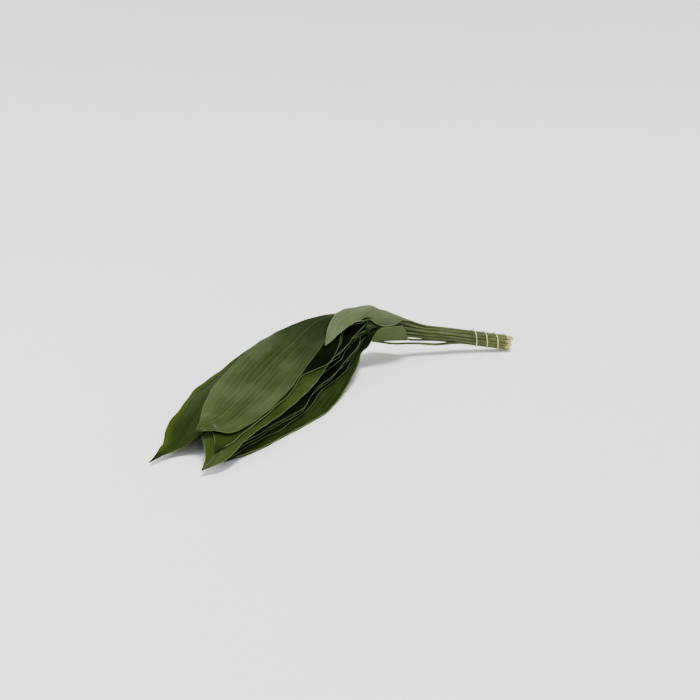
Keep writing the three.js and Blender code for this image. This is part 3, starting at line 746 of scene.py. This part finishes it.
def view_camera():
    """The camera at the picture's viewing angle."""
    pitch, tilt = math.radians(PITCH), math.radians(TILT)
    turn = Matrix.Rotation(math.radians(TURN), 3, "Z")
    forward = turn @ Vector((0, math.cos(pitch), -math.sin(pitch)))
    right = turn @ Vector((1, 0, 0))
    up = right.cross(forward)
    axis_x = right * math.cos(tilt) + up * math.sin(tilt)
    axis_y = up * math.cos(tilt) - right * math.sin(tilt)
    eye = turn @ Vector(EYE) - Vector((*SHIFT, 0))
    data = bpy.data.cameras.new("camera")
    data.lens = FOCAL_PX / FRAME_PX * SENSOR
    data.sensor_width = SENSOR
    data.clip_end = 50
    camera = add("camera", data)
    rotation = Matrix((axis_x, axis_y, -forward)).transposed().to_4x4()
    camera.matrix_world = Matrix.Translation(eye / 1000) @ rotation
    bpy.context.scene.camera = camera


def lights():
    """An even pale surround, a soft high sun and a soft light that glances off the leaves."""
    world = bpy.data.worlds.new("soft_world")
    bpy.context.scene.world = world
    world.use_nodes = True
    world.node_tree.nodes["Background"].inputs["Color"].default_value = SURROUND
    world.node_tree.nodes["Background"].inputs["Strength"].default_value = SURROUND_STRENGTH
    sun = bpy.data.lights.new("sun", "SUN")
    sun.energy = SUN_STRENGTH
    sun.angle = math.radians(SUN_ANGLE)
    add("sun", sun).rotation_euler = Vector(SUN_FROM).to_track_quat("Z", "Y").to_euler()
    sheen = bpy.data.lights.new("sheen_light", "AREA")
    sheen.shape = "DISK"
    sheen.size = SHEEN_SIZE
    sheen.energy = SHEEN_POWER
    lamp = add("sheen_light", sheen)
    lamp.location = SHEEN_FROM
    lamp.rotation_euler = (Vector(SHEEN_AT) - Vector(SHEEN_FROM)).to_track_quat("-Z", "Y").to_euler()


def floor():
    """A wide round floor that curves up far away."""
    count = FLOOR_SIDES
    rows = [(FLOOR_R, 0.0)] + [(FLOOR_R + FLOOR_CURVE * math.sin(a), FLOOR_CURVE - FLOOR_CURVE * math.cos(a))
                               for a in np.linspace(0.1, 1.4, 14)]
    verts = [(0, 0, 0)] + [(r * math.cos(2 * math.pi * i / count), r * math.sin(2 * math.pi * i / count), z)
                           for r, z in rows for i in range(count)]
    faces = [(0, 1 + i, 1 + (i + 1) % count) for i in range(count)]
    for row in range(len(rows) - 1):
        a, b = 1 + row * count, 1 + (row + 1) * count
        faces += [(a + i, b + i, b + (i + 1) % count, a + (i + 1) % count) for i in range(count)]
    mesh_object("floor", np.array(verts), faces, floor_material())


# ---------------------------------------------------------------- putting it together
def main():
    view_camera()
    floor()
    lights()
    green = leaf_material("leaf_green", GREEN_LOOK)
    inner = leaf_material("leaf_inner", INNER_SHADED_LOOK)
    own = {CUPPED: leaf_material("leaf_cupped", CUPPED_LOOK), TOP: leaf_material("leaf_pale", PALE_LOOK),
           STRIP: leaf_material("leaf_strip", STRIP_LIT_LOOK), BIG: leaf_material("leaf_front", FRONT_LOOK),
           LEFT: leaf_material("leaf_left", LEFT_LOOK)}
    for k in range(LEAVES):
        leaf = build_leaf(k, own.get(k, inner if k in INNER else green))
        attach(leaf, "root")
        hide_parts("leaf_%02d" % (k + 1))
    tie = build_tie(tie_material())
    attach(tie, "root")
    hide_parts("stem_tie")


main()
